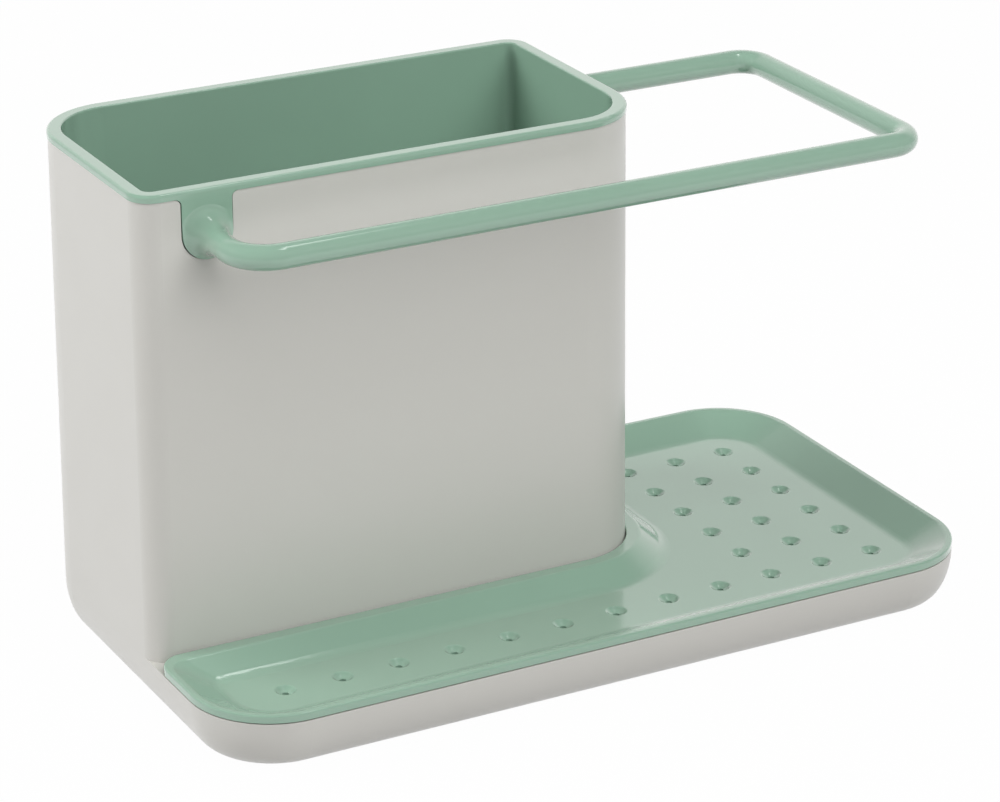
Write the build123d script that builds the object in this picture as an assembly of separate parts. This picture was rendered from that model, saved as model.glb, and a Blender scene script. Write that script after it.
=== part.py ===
"""Kitchen sink caddy in millimetres, +Z up.

Three mouldings and four feet. The body is a tall compartment at the back left of a low rounded
base. The liner drops into the compartment: its rim sits on the wall, two U-shaped tabs fill notches
in the wall, and a round towel rail grows out of the tabs. The L-shaped drip tray lies on the base
and wraps round the compartment's foot. Shapes are drawn from the base's front left corner at the
table, and moved at the end so that the origin is the middle of the footprint at the table.
"""
import os
from build123d import *

# Whole object
LENGTH = 205.0
DEPTH = 110.3
RIM_TOP = 127.6
CUT_OVERRUN = 4.0

# Base of the body
FOOT_LIFT = 0.9
BASE_HEIGHT = 12.5
BASE_CORNER = 20.7
BASE_BAND = 0.4
TUCK_WIDTH = 5.8
BASE_WALL = 1.8
BODY_FLOOR = 2.2

# Compartment of the body, measured over its foot
COMPARTMENT_LENGTH = 134.0
COMPARTMENT_DEPTH = 69.2
BACK_CORNER = 19.2
FRONT_CORNER = 18.6
SMALL_CORNER = 5.5
OPEN_SIDE_DRAFT = 1.15
FLUSH_SIDE_DRAFT = 0.4
BODY_WALL = 1.5
WELL_DRAFT = 0.4

# Liner
RIM_HEIGHT = 1.7
RIM_OVERHANG = 0.25
RIM_OUTER_ROUND = 0.8
RIM_INNER_ROUND = 0.4
LINER_WALL = 1.5
LINER_FLOOR = 1.6
LINER_CLEARANCE = 0.25
LINER_DRAFT = 0.8
LINER_LIFT = 5.0
LINER_FLOOR_ROUND = 2.5
LINER_INSIDE_ROUND = 1.2
LINER_HOLE_PITCH = 18.0
LINER_HOLE_MARGIN = 18.0

# Tabs and rail
TAB_WIDTH = 12.3
TAB_DROP = 14.9
FRONT_TAB_SPACE = 5.0
RIGHT_TAB_SPACE = 1.65
TAB_SHOULDER = 1.5
TAB_GAP = 0.2
RAIL_DIAMETER = 6.05
RAIL_DROP = 11.15
RAIL_STANDOFF = 20.25
RAIL_REACH = 61.1
RAIL_ROOT_BEND = 9.0
RAIL_END_BEND = 6.6
FLARE_LENGTH = 6.5
FLARE_WIDTH = 4.2

# Drip tray
TRAY_CREST = 14.65
TRAY_DEPTH = 4.55
TRAY_PLATE = 1.7
TRAY_LIP_GAP = 0.3
TRAY_GAP = 0.35
COLLAR_GAP = 0.22
TRAY_EDGE_ROUND = 0.45
OUTER_CREST_INSET = 1.5
INNER_CREST_INSET = 3.7
OUTER_FOOT_INSET = 10.4
INNER_FOOT_INSET = 9.9
TIP_CORNER = 6.5
CREST_TIP_CORNER = 4.5
FOOT_TIP_CORNER = 2.5
DISH_ROUND = 5.0
CREST_ROUND = 1.2
POST_DIAMETER = 5.0

# Drain holes, the same in the tray and in the liner's floor: a round dish about a bore
HOLE_PITCH_X = 14.67
HOLE_PITCH_Y = 13.95
HOLE_MARGIN = 5.0
HOLE_BLOCK_SHIFT = 0.9
HOLE_DIAMETER = 1.6
HOLE_DISH_DIAMETER = 4.8
HOLE_DISH_DEPTH = 1.2
HOLE_EDGE_ROUND = 0.6

# How much of the narrower strip beside the compartment a corner, a slope or a round may take
CORNER_SHARE = 0.6
SLOPE_SHARE = 0.26
DISH_ROUND_SHARE = 0.125
CREST_ROUND_SHARE = 0.06

# Feet
FOOT_DIAMETER = 12.0
FOOT_POCKET = 0.8
FOOT_POCKET_GAP = 0.1
FOOT_INSET = 19.0
FOOT_ROUND = 0.3

# Heights above the table
base_bottom = FOOT_LIFT
base_top = base_bottom + BASE_HEIGHT
wall_top = RIM_TOP - RIM_HEIGHT
floor_top = base_bottom + BODY_FLOOR
tray_top = base_bottom + TRAY_CREST
tray_floor = tray_top - TRAY_DEPTH
tray_lip_bottom = base_top + TRAY_LIP_GAP
tray_underside = tray_floor - TRAY_PLATE
liner_bottom = floor_top + LINER_LIFT
liner_floor_top = liner_bottom + LINER_FLOOR
rail_height = RIM_TOP - RAIL_DROP
tuck_height = BASE_HEIGHT - BASE_BAND

# The compartment's foot and the two strips beside it
front_wall = DEPTH - COMPARTMENT_DEPTH
strip_middle_y = front_wall / 2
strip_middle_x = (COMPARTMENT_LENGTH + LENGTH) / 2
narrow_strip = min(front_wall, LENGTH - COMPARTMENT_LENGTH)

# Corners and slopes, limited by the strips that carry them
base_corner = min(BASE_CORNER, narrow_strip * CORNER_SHARE)
outer_foot_inset = min(OUTER_FOOT_INSET, narrow_strip * SLOPE_SHARE)
inner_foot_inset = min(INNER_FOOT_INSET, narrow_strip * SLOPE_SHARE)
dish_round = min(DISH_ROUND, narrow_strip * DISH_ROUND_SHARE)
crest_round = min(CREST_ROUND, narrow_strip * CREST_ROUND_SHARE)


def rounded_outline(points, radii, height):
    """Closed flat face through square corners, each with its own radius."""
    path = FilletPolyline(*points, radius=radii, close=True)
    return Location((0, 0, height)) * make_face(path)


def rounded_box_outline(low, high, radii, height):
    """Rounded rectangle. The radii go front left, front right, back right, back left."""
    points = [(low[0], low[1]), (high[0], low[1]), (high[0], high[1]), (low[0], high[1])]
    return rounded_outline(points, radii, height)


def base_outline(inset, height):
    """The base's outline, the same inset on every side."""
    big = base_corner - inset
    radii = [big, big, big, BACK_CORNER - inset]
    return rounded_box_outline((inset, inset), (LENGTH - inset, DEPTH - inset), radii, height)


def compartment_outline(inset, height):
    """The compartment's outline at a height, drafted towards the rim, with a further inset."""
    rise = (height - base_top) / (wall_top - base_top)
    open_side = inset + OPEN_SIDE_DRAFT * rise
    flush_side = inset + FLUSH_SIDE_DRAFT * rise
    low = (flush_side, front_wall + open_side)
    high = (COMPARTMENT_LENGTH - open_side, DEPTH - flush_side)
    radii = [SMALL_CORNER - inset, FRONT_CORNER - inset, SMALL_CORNER - inset, BACK_CORNER - inset]
    return rounded_box_outline(low, high, radii, height)


def mouth_outline(inset, height):
    """The outline of the compartment's top edge, inset, at any height."""
    return Location((0, 0, height - wall_top)) * compartment_outline(inset, wall_top)


def tray_outline(outer_inset, inner_inset, tip_radius, height):
    """The tray's L, inset from the base's sides and from the compartment's foot."""
    left, right = outer_inset, LENGTH - outer_inset
    front, back = outer_inset, DEPTH - outer_inset
    inner_x = COMPARTMENT_LENGTH + inner_inset
    inner_y = front_wall - inner_inset
    points = [(left, front), (right, front), (right, back), (inner_x, back),
              (inner_x, inner_y), (left, inner_y)]
    corner = base_corner - outer_inset
    arm = min(inner_y - front, right - inner_x)
    tip = min(tip_radius, arm * (1 - CORNER_SHARE))
    radii = [corner, corner, corner, tip, FRONT_CORNER + inner_inset, tip]
    return rounded_outline(points, radii, height)


def prism(outline, height):
    """Straight prism on a flat outline, upwards, or downwards for a height below zero."""
    return extrude(outline, amount=height, dir=(0, 0, 1))


def tucked_block(inset, bottom, top):
    """A block on the base's outline whose sides curve in towards the bottom."""
    outline = base_outline(inset, bottom)
    path = outline.face().outer_wire()
    start = path @ 0
    inward = Vector(0, 0, 1).cross(path % 0)
    if inward.dot(Vector(LENGTH / 2, DEPTH / 2, bottom) - start) < 0:
        inward = inward * -1
    plane = Plane(origin=start, x_dir=inward, z_dir=inward.cross(Vector(0, 0, 1)))
    curve = EllipticalCenterArc((TUCK_WIDTH, tuck_height), TUCK_WIDTH, tuck_height,
                                start_angle=180, arc_size=90)
    rest = Polyline((TUCK_WIDTH, 0), (TUCK_WIDTH, -CUT_OVERRUN), (-CUT_OVERRUN, -CUT_OVERRUN),
                    (-CUT_OVERRUN, tuck_height), (0, tuck_height))
    profile = plane * make_face(Curve() + [curve, rest])
    return prism(outline, top - bottom) - sweep(profile, path=path)


def loft_between(lower, upper):
    """Straight-sided solid between two outlines with the same corners."""
    return loft([lower.face(), upper.face()], ruled=True)


def places_along(run, pitch):
    """How many places at a pitch fit in a run, with one at each end."""
    return 1 + max(0, int(run / pitch))


def add_drain_holes(part, places, surface_height, thickness):
    """Sinks a round dish with a bore at each place of a floor, and rounds the dish's edge."""
    mouth = HOLE_DISH_DIAMETER / 2
    ball_radius = (mouth ** 2 + HOLE_DISH_DEPTH ** 2) / (2 * HOLE_DISH_DEPTH)
    ball = Location((0, 0, ball_radius - HOLE_DISH_DEPTH)) * Sphere(ball_radius)
    drill = Cylinder(HOLE_DIAMETER / 2, thickness + CUT_OVERRUN * 2) + ball
    for x, y in places:
        part -= Location((x, y, surface_height)) * drill
    near = HOLE_DISH_DEPTH / 2
    mouths = [e for e in part.edges().filter_by(GeomType.CIRCLE)
              if abs(e.radius - mouth) < near and abs(e.arc_center.Z - surface_height) < near]
    return fillet(mouths, radius=HOLE_EDGE_ROUND)


# The tray's pattern of holes: a block on the right strip, whose front row runs on to the left
hole_columns = places_along(LENGTH - outer_foot_inset - COMPARTMENT_LENGTH - inner_foot_inset
                            - 2 * HOLE_MARGIN, HOLE_PITCH_X)
hole_rows = places_along(DEPTH - outer_foot_inset - HOLE_MARGIN - strip_middle_y, HOLE_PITCH_Y)
first_hole_x = strip_middle_x + HOLE_BLOCK_SHIFT + HOLE_PITCH_X * (hole_columns - 1) / 2
front_row_holes = places_along(first_hole_x - outer_foot_inset - HOLE_MARGIN, HOLE_PITCH_X)


def tray_hole_places():
    """The right block of columns and rows, then the front row running on to the left."""
    places = []
    for column in range(front_row_holes):
        rows = hole_rows if column < hole_columns else 1
        for row in range(rows):
            places.append((first_hole_x - column * HOLE_PITCH_X, strip_middle_y + row * HOLE_PITCH_Y))
    return places


def tab_outline(grow):
    """U-shaped tab drawn in its wall's plane: x along the wall, y up from the wall's top edge."""
    half = TAB_WIDTH / 2 + grow
    wide = TAB_WIDTH / 2 + TAB_SHOULDER
    bend = TAB_SHOULDER - grow
    arc_height = TAB_WIDTH / 2 - TAB_DROP
    lines = [
        Line((-half, arc_height), (-half, -TAB_SHOULDER)),
        CenterArc((-wide, -TAB_SHOULDER), bend, 0, 90),
        Polyline((-wide, -grow), (-wide, RIM_HEIGHT / 2), (wide, RIM_HEIGHT / 2), (wide, -grow)),
        CenterArc((wide, -TAB_SHOULDER), bend, 90, 90),
        Line((half, -TAB_SHOULDER), (half, arc_height)),
        ThreePointArc((half, arc_height), (0, arc_height - half), (-half, arc_height)),
    ]
    return make_face(Curve() + lines)


# Where the tabs stand on the wall's top edge, and the rail's run between them
wall_front_at_top = front_wall + OPEN_SIDE_DRAFT
wall_right_at_top = COMPARTMENT_LENGTH - OPEN_SIDE_DRAFT
wall_left_at_top = FLUSH_SIDE_DRAFT
wall_back_at_top = DEPTH - FLUSH_SIDE_DRAFT
tab_from_side = SMALL_CORNER + TAB_WIDTH / 2
front_tab_x = wall_left_at_top + tab_from_side + FRONT_TAB_SPACE
right_tab_y = wall_back_at_top - tab_from_side - RIGHT_TAB_SPACE
front_tab_plane = Plane(origin=(front_tab_x, wall_front_at_top - RIM_OVERHANG, wall_top),
                        x_dir=(1, 0, 0), z_dir=(0, -1, 0))
right_tab_plane = Plane(origin=(wall_right_at_top + RIM_OVERHANG, right_tab_y, wall_top),
                        x_dir=(0, 1, 0), z_dir=(1, 0, 0))
tab_planes = [front_tab_plane, right_tab_plane]
tab_thickness = RIM_OVERHANG + BODY_WALL + LINER_CLEARANCE + LINER_WALL / 2


def foot_places():
    """Names and centres of the four feet."""
    left, right = FOOT_INSET, LENGTH - FOOT_INSET
    front, back = FOOT_INSET, DEPTH - FOOT_INSET
    return {"foot_front_left": (left, front), "foot_front_right": (right, front),
            "foot_back_left": (left, back), "foot_back_right": (right, back)}


def make_ledges():
    """Flat ledges at the compartment's two small corners, where the tray's tips are cut away."""
    tray = prism(tray_outline(-TRAY_GAP, 0, TIP_CORNER, base_bottom), BASE_HEIGHT * 2)
    reach = SMALL_CORNER + TIP_CORNER
    half = reach * 2
    corners = [(0, front_wall), (COMPARTMENT_LENGTH, DEPTH)]
    slab = prism(base_outline(0, base_top - BASE_WALL), BASE_WALL)
    ledges = Part()
    for x, y in corners:
        box = Location((x, y, base_top)) * Box(half, half, BASE_HEIGHT)
        ledges += slab & box
    return ledges - tray


def make_body():
    """Compartment and base in one moulding, open at the top and over the base."""
    compartment = loft_between(compartment_outline(0, base_top), compartment_outline(0, wall_top))
    body = tucked_block(0, base_bottom, base_top) + compartment

    inner_base = tucked_block(BASE_WALL, floor_top, base_top + CUT_OVERRUN)
    foot_block = prism(compartment_outline(0, base_top), -BASE_HEIGHT * 2)
    foot_block += prism(compartment_outline(0, base_top), CUT_OVERRUN * 2)
    reservoir = inner_base - foot_block

    well = prism(mouth_outline(BODY_WALL + WELL_DRAFT, base_top), -BASE_HEIGHT) & inner_base
    well += loft_between(mouth_outline(BODY_WALL + WELL_DRAFT, base_top),
                         mouth_outline(BODY_WALL, wall_top))
    well += prism(mouth_outline(BODY_WALL, wall_top), CUT_OVERRUN)

    body = body - reservoir - well
    ledges = make_ledges()
    body += ledges - well - foot_block
    for plane in tab_planes:
        notch = extrude(plane * tab_outline(TAB_GAP), amount=CUT_OVERRUN)
        notch += extrude(plane * tab_outline(TAB_GAP), amount=-tab_thickness)
        body -= notch
    for x, y in support_post_places():
        post = Cylinder(POST_DIAMETER / 2, tray_underside - floor_top,
                        align=(Align.CENTER, Align.CENTER, Align.MIN))
        body += Location((x, y, floor_top)) * post
    for x, y in foot_places().values():
        pocket = Cylinder(FOOT_DIAMETER / 2 + FOOT_POCKET_GAP, FOOT_POCKET + CUT_OVERRUN,
                          align=(Align.CENTER, Align.CENTER, Align.MAX))
        body -= Location((x, y, base_bottom + FOOT_POCKET)) * pocket
    return body


def support_post_places():
    """Posts under the tray's floor, halfway between drain holes: a front row and a back pair."""
    first_gap_x = first_hole_x - HOLE_PITCH_X / 2
    back = strip_middle_y + HOLE_PITCH_Y * (hole_rows - 1)
    front_gaps = range(0, front_row_holes - 1, max(1, front_row_holes // 2 - 1))
    places = [(first_gap_x - HOLE_PITCH_X * gap, strip_middle_y) for gap in front_gaps]
    places += [(first_gap_x - HOLE_PITCH_X * gap, back) for gap in range(hole_columns - 1)]
    return places


def make_rail():
    """Round rail from the front root, round the caddy's right end, to the right wall's root."""
    start = front_tab_plane.origin
    end = right_tab_plane.origin
    front = wall_front_at_top - RAIL_STANDOFF
    far = wall_right_at_top + RAIL_REACH
    points = [(start.X, start.Y - FLARE_LENGTH, rail_height), (start.X, front, rail_height),
              (far, front, rail_height), (far, end.Y, rail_height),
              (end.X + FLARE_LENGTH, end.Y, rail_height)]
    path = FilletPolyline(*points, radius=[RAIL_ROOT_BEND, RAIL_END_BEND, RAIL_END_BEND])
    section = Plane(origin=points[0], z_dir=(0, -1, 0)) * Circle(RAIL_DIAMETER / 2)
    return sweep(section, path=path)


def make_root():
    """Trumpet from a tab's face out to the rail, drawn in the tab's plane and held to its outline."""
    inside = tab_thickness / 2
    rail = RAIL_DIAMETER / 2
    wide = rail + FLARE_WIDTH
    flare = EllipticalCenterArc((wide, FLARE_LENGTH), FLARE_WIDTH, FLARE_LENGTH,
                                start_angle=180, arc_size=90)
    rest = Polyline((wide, 0), (wide, -inside), (0, -inside), (0, FLARE_LENGTH), (rail, FLARE_LENGTH))
    profile = Plane.XZ * make_face(Curve() + [flare, rest])
    trumpet = revolve(profile, axis=Axis.Z)
    drop = wall_top - rail_height
    block = extrude(tab_outline(0), amount=FLARE_LENGTH) + extrude(tab_outline(0), amount=-inside)
    return (Location((0, -drop, 0)) * trumpet) & block


def liner_hole_places():
    """Rows and columns of drain holes about the middle of the liner's floor."""
    middle_x = (wall_left_at_top + wall_right_at_top) / 2
    middle_y = (wall_front_at_top + wall_back_at_top) / 2
    run_x = wall_right_at_top - wall_left_at_top - 2 * LINER_HOLE_MARGIN
    run_y = wall_back_at_top - wall_front_at_top - 2 * LINER_HOLE_MARGIN
    grid = GridLocations(LINER_HOLE_PITCH, LINER_HOLE_PITCH,
                         places_along(run_x, LINER_HOLE_PITCH), places_along(run_y, LINER_HOLE_PITCH))
    return [(middle_x + place.position.X, middle_y + place.position.Y) for place in grid]


def make_liner():
    """Inner pot with its rim, tabs and rail."""
    outside = BODY_WALL + LINER_CLEARANCE
    inside = outside + LINER_WALL
    pot = loft_between(mouth_outline(outside + LINER_DRAFT, liner_bottom),
                       mouth_outline(outside, wall_top))
    pot = fillet(pot.faces().sort_by(Axis.Z)[0].edges(), radius=LINER_FLOOR_ROUND)
    rim = prism(mouth_outline(-RIM_OVERHANG, wall_top), RIM_HEIGHT)
    rim = fillet(rim.faces().sort_by(Axis.Z)[-1].edges(), radius=RIM_OUTER_ROUND)
    hollow = loft_between(mouth_outline(inside + LINER_DRAFT, liner_floor_top),
                          mouth_outline(inside, wall_top))
    hollow = fillet(hollow.faces().sort_by(Axis.Z)[0].edges(), radius=LINER_INSIDE_ROUND)
    hollow += prism(mouth_outline(inside, wall_top), RIM_HEIGHT + CUT_OVERRUN)
    liner = pot + rim
    root = make_root()
    for plane in tab_planes:
        liner += extrude(plane * tab_outline(0), amount=-tab_thickness)
        liner += plane * root
    liner += make_rail()
    liner -= hollow
    top_edges = liner.faces().filter_by(Axis.Z).sort_by(Axis.Z)[-1].inner_wires()[0].edges()
    liner = fillet(top_edges, radius=RIM_INNER_ROUND)
    return add_drain_holes(liner, liner_hole_places(), liner_floor_top, LINER_FLOOR)


def make_drip_tray():
    """Dished L-shaped tray with its lip over the base's wall and its collar round the foot."""
    lip = prism(tray_outline(0, COLLAR_GAP, TIP_CORNER, tray_lip_bottom),
                tray_top - tray_lip_bottom)
    lip = fillet(lip.faces().sort_by(Axis.Z)[-1].edges(), radius=TRAY_EDGE_ROUND)
    seat = BASE_WALL + TRAY_GAP
    bowl = loft_between(
        tray_outline(outer_foot_inset, inner_foot_inset, FOOT_TIP_CORNER, tray_underside),
        tray_outline(seat, COLLAR_GAP, TIP_CORNER, tray_lip_bottom))
    dish = loft_between(
        tray_outline(outer_foot_inset, inner_foot_inset, FOOT_TIP_CORNER, tray_floor),
        tray_outline(OUTER_CREST_INSET, INNER_CREST_INSET, CREST_TIP_CORNER, tray_top))
    bowl = fillet(bowl.faces().sort_by(Axis.Z)[0].edges(), radius=dish_round)
    dish = fillet(dish.faces().sort_by(Axis.Z)[0].edges(), radius=dish_round)
    tray = lip + bowl - dish
    crest = tray.faces().filter_by(Axis.Z).sort_by(Axis.Z)[-1].inner_wires()[0].edges()
    tray = fillet(crest, radius=crest_round)
    return add_drain_holes(tray, tray_hole_places(), tray_floor, TRAY_PLATE)


def make_foot(place):
    """Round rubber foot, flat below, held in its pocket."""
    foot = Cylinder(FOOT_DIAMETER / 2, FOOT_LIFT + FOOT_POCKET,
                    align=(Align.CENTER, Align.CENTER, Align.MIN))
    foot = fillet(foot.edges().sort_by(Axis.Z)[0], radius=FOOT_ROUND)
    return Location((place[0], place[1], 0)) * foot


def main():
    """Build every piece and write it about the middle of the footprint."""
    os.makedirs("parts", exist_ok=True)
    pieces = {"body": make_body(), "liner": make_liner(), "drip_tray": make_drip_tray()}
    for name, place in foot_places().items():
        pieces[name] = make_foot(place)
    to_origin = Location((-LENGTH / 2, -DEPTH / 2, 0))
    for name, piece in pieces.items():
        export_step(to_origin * piece, f"parts/{name}.step")


main()
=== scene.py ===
"""Looks of the kitchen sink caddy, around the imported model. Metres, +Z up.

The origin is the middle of the footprint at the table. The caddy's length runs along X and its
flat back faces +Y. The compartment stands at the left (-X) and the drip tray's wide end at the
right (+X).
"""
import math

import bpy
from mathutils import Matrix, Vector

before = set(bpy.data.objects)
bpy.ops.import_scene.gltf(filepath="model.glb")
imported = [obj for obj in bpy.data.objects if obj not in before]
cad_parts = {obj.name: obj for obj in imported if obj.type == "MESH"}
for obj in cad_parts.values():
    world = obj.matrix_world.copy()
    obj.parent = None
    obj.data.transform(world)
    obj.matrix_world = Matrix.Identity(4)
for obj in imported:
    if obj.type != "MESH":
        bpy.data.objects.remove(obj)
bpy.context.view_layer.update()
scene = bpy.context.scene
scene.view_settings.view_transform = "Standard"

MM = 0.001

# Camera: the photograph's viewing angle and framing
IMAGE_WIDTH_PX = 1000
FOCAL_LENGTH_PX = 3688.7
SENSOR_WIDTH_MM = 36.0
CAMERA_YAW = math.radians(28.628)
CAMERA_PITCH = math.radians(22.622)
CAMERA_ROLL = math.radians(0.181)
CAMERA_DISTANCE = 890.2 * MM
CAMERA_RIGHT = -2.64 * MM
CAMERA_UP = -14.4 * MM
AIM_POINT = Vector((0.0, 1.85 * MM, 69.67 * MM))
CLIP_NEAR, CLIP_FAR = 0.01, 20.0

# Room: a plain level on matt surfaces. Gloss mirrors a white backdrop behind the caddy and a
# dimmer ceiling and sides, told apart by the direction's height and its turn from the backdrop.
ROOM_LEVEL = 0.2
BACKDROP_LIGHT = 1.0
CEILING_SHARE = 0.4
SIDE_LIGHT = 0.4
BACKDROP_TOP_SINE = 0.5
CEILING_FROM_SINE = 0.72
BACKDROP_SIDE = (0.479, 0.878, 0.0)
SIDE_COSINE = 0.3
BACKDROP_COSINE = 0.8
ROOM_COLOUR = (1.0, 0.98, 0.97, 1.0)

# Lamps: place, point aimed at, width and height in metres, power in watts
CADDY_MIDDLE = (0, 0, 0.06)
LEFT_PLACE, LEFT_SIZE, LEFT_WATTS = (-1.2, 0.5, 0.8), (0.8, 0.8), 15.0
FRONT_PLACE, FRONT_SIZE, FRONT_WATTS = (0.15, -0.97, 1.06), (1.2, 1.2), 16.2
STRIP_PLACE, STRIP_SIZE, STRIP_WATTS = (0.30, -0.10, 1.15), (0.5, 0.1), 0.7
STRIP_AIM = (0, 0, 0.05)

# Floor
FLOOR_HALF = 2.0
FLOOR_COLOUR = (0.6, 0.6, 0.6, 1.0)
FLOOR_WHITE_SHARE = 0.985

# Colours of the surfaces in linear light
BODY_COLOUR = (0.585, 0.577, 0.543, 1.0)
GREEN_COLOUR = (0.272, 0.428, 0.330, 1.0)
FOOT_COLOUR = (0.42, 0.42, 0.41, 1.0)
WHITE = (1.0, 1.0, 1.0, 1.0)

# Finish of each material: roughness, weight of the clear coat, share of light and dark in the
# colour, and depths in metres of the fine grain and of the slow waviness
BODY_FINISH = (0.32, 0.4, 0.0, 0.000003, 0.00002)
GREEN_FINISH = (0.12, 1.0, 0.02, 0.000002, 0.00002)
FOOT_FINISH = (0.7, 0.0, 0.04, 0.00002, 0.00001)

# Surface patterns: features per metre, and the noise levels between which a pattern changes
CLOUD_SCALE, CLOUD_DETAIL = 22.0, 3.0
PATCH_SCALE, PATCH_DETAIL = 60.0, 2.0
GRAIN_SCALE, GRAIN_DETAIL = 2600.0, 2.0
WAVE_SCALE, WAVE_DETAIL = 45.0, 1.0
NOISE_LOW, NOISE_HIGH = 0.3, 0.7
SMOOTHEST, ROUGHEST = 0.92, 1.1


def make_camera():
    """Camera at the photograph's place, looking slightly down at the caddy's front left."""
    cos_yaw, sin_yaw = math.cos(CAMERA_YAW), math.sin(CAMERA_YAW)
    cos_pitch, sin_pitch = math.cos(CAMERA_PITCH), math.sin(CAMERA_PITCH)
    forward = Vector((sin_yaw * cos_pitch, cos_yaw * cos_pitch, -sin_pitch))
    level_right = Vector((cos_yaw, -sin_yaw, 0.0))
    level_up = level_right.cross(forward)
    right = level_right * math.cos(CAMERA_ROLL) + level_up * math.sin(CAMERA_ROLL)
    up = level_up * math.cos(CAMERA_ROLL) - level_right * math.sin(CAMERA_ROLL)
    place = AIM_POINT - forward * CAMERA_DISTANCE + right * CAMERA_RIGHT + up * CAMERA_UP
    data = bpy.data.cameras.new("camera")
    data.sensor_width = SENSOR_WIDTH_MM
    data.lens = FOCAL_LENGTH_PX / IMAGE_WIDTH_PX * SENSOR_WIDTH_MM
    data.clip_start = CLIP_NEAR
    data.clip_end = CLIP_FAR
    camera = bpy.data.objects.new("camera", data)
    scene.collection.objects.link(camera)
    axes = Matrix((right, up, -forward)).transposed()
    camera.matrix_world = Matrix.Translation(place) @ axes.to_4x4()
    scene.camera = camera


def make_lamp(name, place, aim, size, watts, mirrored):
    """Rectangular soft lamp that shines from its place towards a point, mirrored in gloss or not."""
    data = bpy.data.lights.new(name, "AREA")
    data.shape = "RECTANGLE"
    data.size, data.size_y = size
    data.energy = watts
    lamp = bpy.data.objects.new(name, data)
    scene.collection.objects.link(lamp)
    lamp.location = place
    direction = Vector(aim) - Vector(place)
    lamp.rotation_euler = direction.to_track_quat("-Z", "Y").to_euler()
    lamp.visible_glossy = mirrored


def link(tree, output, socket):
    """Joins two sockets of a node tree."""
    tree.links.new(output, socket)


def ramp(tree, value, low, high, from_value, to_value):
    """Smooth change from one value to another as the input goes from low to high."""
    node = tree.nodes.new("ShaderNodeMapRange")
    node.interpolation_type = "SMOOTHSTEP"
    node.inputs["From Min"].default_value = low
    node.inputs["From Max"].default_value = high
    node.inputs["To Min"].default_value = from_value
    node.inputs["To Max"].default_value = to_value
    link(tree, value, node.inputs["Value"])
    return node.outputs["Result"]


def arithmetic(tree, operation, first, second):
    """Math node on a socket and a socket or a number."""
    node = tree.nodes.new("ShaderNodeMath")
    node.operation = operation
    link(tree, first, node.inputs[0])
    if isinstance(second, float):
        node.inputs[1].default_value = second
    else:
        link(tree, second, node.inputs[1])
    return node.outputs["Value"]


def make_world():
    """Soft room light by direction, with a white backdrop to the camera."""
    world = bpy.data.worlds.new("studio")
    scene.world = world
    world.use_nodes = True
    tree = world.node_tree
    tree.nodes.clear()
    place = tree.nodes.new("ShaderNodeTexCoord")
    split = tree.nodes.new("ShaderNodeSeparateXYZ")
    link(tree, place.outputs["Generated"], split.inputs[0])
    height = ramp(tree, split.outputs["Z"], BACKDROP_TOP_SINE, CEILING_FROM_SINE,
                  1.0, CEILING_SHARE)
    toward = tree.nodes.new("ShaderNodeVectorMath")
    toward.operation = "DOT_PRODUCT"
    toward.inputs[1].default_value = BACKDROP_SIDE
    link(tree, place.outputs["Generated"], toward.inputs[0])
    side = ramp(tree, toward.outputs["Value"], SIDE_COSINE, BACKDROP_COSINE,
                SIDE_LIGHT, BACKDROP_LIGHT)
    path = tree.nodes.new("ShaderNodeLightPath")
    level = tree.nodes.new("ShaderNodeMix")
    level.inputs["A"].default_value = ROOM_LEVEL
    link(tree, path.outputs["Is Glossy Ray"], level.inputs["Factor"])
    link(tree, arithmetic(tree, "MULTIPLY", height, side), level.inputs["B"])
    room = tree.nodes.new("ShaderNodeBackground")
    room.inputs["Color"].default_value = ROOM_COLOUR
    link(tree, level.outputs["Result"], room.inputs["Strength"])
    seen = tree.nodes.new("ShaderNodeBackground")
    seen.inputs["Color"].default_value = WHITE
    mix = tree.nodes.new("ShaderNodeMixShader")
    link(tree, path.outputs["Is Camera Ray"], mix.inputs["Fac"])
    link(tree, room.outputs[0], mix.inputs[1])
    link(tree, seen.outputs[0], mix.inputs[2])
    out = tree.nodes.new("ShaderNodeOutputWorld")
    link(tree, mix.outputs[0], out.inputs["Surface"])


def make_floor():
    """Pale floor that the camera sees as white where no shadow lies on it."""
    mesh = bpy.data.meshes.new("floor")
    corners = [(-FLOOR_HALF, -FLOOR_HALF, 0), (FLOOR_HALF, -FLOOR_HALF, 0),
               (FLOOR_HALF, FLOOR_HALF, 0), (-FLOOR_HALF, FLOOR_HALF, 0)]
    mesh.from_pydata(corners, [], [(0, 1, 2, 3)])
    floor = bpy.data.objects.new("floor", mesh)
    scene.collection.objects.link(floor)
    material = bpy.data.materials.new("pale_floor")
    material.use_nodes = True
    tree = material.node_tree
    tree.nodes.clear()
    diffuse = tree.nodes.new("ShaderNodeBsdfDiffuse")
    diffuse.inputs["Color"].default_value = FLOOR_COLOUR
    white = tree.nodes.new("ShaderNodeEmission")
    white.inputs["Color"].default_value = WHITE
    path = tree.nodes.new("ShaderNodeLightPath")
    mirrored = arithmetic(tree, "MAXIMUM", path.outputs["Is Camera Ray"], path.outputs["Is Glossy Ray"])
    mix = tree.nodes.new("ShaderNodeMixShader")
    link(tree, arithmetic(tree, "MULTIPLY", mirrored, FLOOR_WHITE_SHARE), mix.inputs["Fac"])
    link(tree, diffuse.outputs[0], mix.inputs[1])
    link(tree, white.outputs[0], mix.inputs[2])
    out = tree.nodes.new("ShaderNodeOutputMaterial")
    link(tree, mix.outputs[0], out.inputs["Surface"])
    mesh.materials.append(material)


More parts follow.
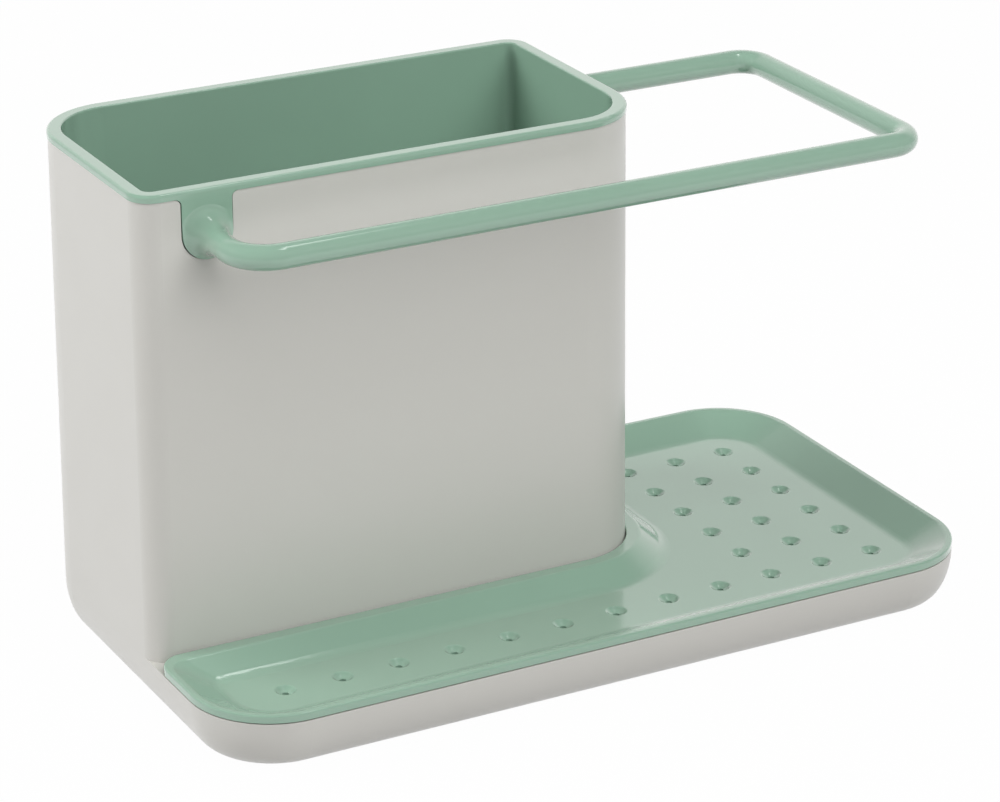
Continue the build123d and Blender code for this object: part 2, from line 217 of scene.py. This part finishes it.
def noise(tree, place, name, per_metre, detail):
    """Noise on the object's own coordinates, with its number of features per metre."""
    node = tree.nodes.new("ShaderNodeTexNoise")
    node.name = name
    node.inputs["Scale"].default_value = per_metre
    node.inputs["Detail"].default_value = detail
    link(tree, place.outputs["Object"], node.inputs["Vector"])
    return node.outputs["Fac"]


def moulded_plastic(name, colour, finish):
    """Moulded plastic: faint cloudiness in the colour, uneven gloss, fine grain and slow waviness."""
    roughness, coat, mottle, grain_depth, wave_depth = finish
    material = bpy.data.materials.new(name)
    material.use_nodes = True
    tree = material.node_tree
    shader = tree.nodes["Principled BSDF"]
    shader.inputs["Coat Weight"].default_value = coat
    shader.inputs["Coat Roughness"].default_value = roughness
    place = tree.nodes.new("ShaderNodeTexCoord")
    cloud = noise(tree, place, "cloud", CLOUD_SCALE, CLOUD_DETAIL)
    lightness = ramp(tree, cloud, NOISE_LOW, NOISE_HIGH, 1.0 - mottle, 1.0 + mottle)
    tint = tree.nodes.new("ShaderNodeVectorMath")
    tint.operation = "SCALE"
    tint.inputs[0].default_value = colour[:3]
    link(tree, lightness, tint.inputs["Scale"])
    link(tree, tint.outputs[0], shader.inputs["Base Color"])
    patch = noise(tree, place, "patch", PATCH_SCALE, PATCH_DETAIL)
    gloss = ramp(tree, patch, NOISE_LOW, NOISE_HIGH, roughness * SMOOTHEST, roughness * ROUGHEST)
    link(tree, gloss, shader.inputs["Roughness"])
    grain = tree.nodes.new("ShaderNodeBump")
    grain.inputs["Strength"].default_value = 1.0
    grain.inputs["Distance"].default_value = grain_depth
    link(tree, noise(tree, place, "grain", GRAIN_SCALE, GRAIN_DETAIL), grain.inputs["Height"])
    wave = tree.nodes.new("ShaderNodeBump")
    wave.inputs["Strength"].default_value = 1.0
    wave.inputs["Distance"].default_value = wave_depth
    link(tree, noise(tree, place, "wave", WAVE_SCALE, WAVE_DETAIL), wave.inputs["Height"])
    link(tree, grain.outputs["Normal"], wave.inputs["Normal"])
    link(tree, wave.outputs["Normal"], shader.inputs["Normal"])
    return material


def dress(node, material):
    """Gives a CAD node its material."""
    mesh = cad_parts[node].data
    mesh.materials.clear()
    mesh.materials.append(material)


make_camera()
make_world()
make_floor()
make_lamp("lamp_left", LEFT_PLACE, CADDY_MIDDLE, LEFT_SIZE, LEFT_WATTS, False)
make_lamp("lamp_front", FRONT_PLACE, CADDY_MIDDLE, FRONT_SIZE, FRONT_WATTS, False)
make_lamp("lamp_strip", STRIP_PLACE, STRIP_AIM, STRIP_SIZE, STRIP_WATTS, True)

dress("body", moulded_plastic("body_plastic", BODY_COLOUR, BODY_FINISH))
green = moulded_plastic("green_plastic", GREEN_COLOUR, GREEN_FINISH)
dress("liner", green)
dress("drip_tray", green)
foot = moulded_plastic("foot_rubber", FOOT_COLOUR, FOOT_FINISH)
for corner in ("front_left", "front_right", "back_left", "back_right"):
    dress(f"foot_{corner}", foot)
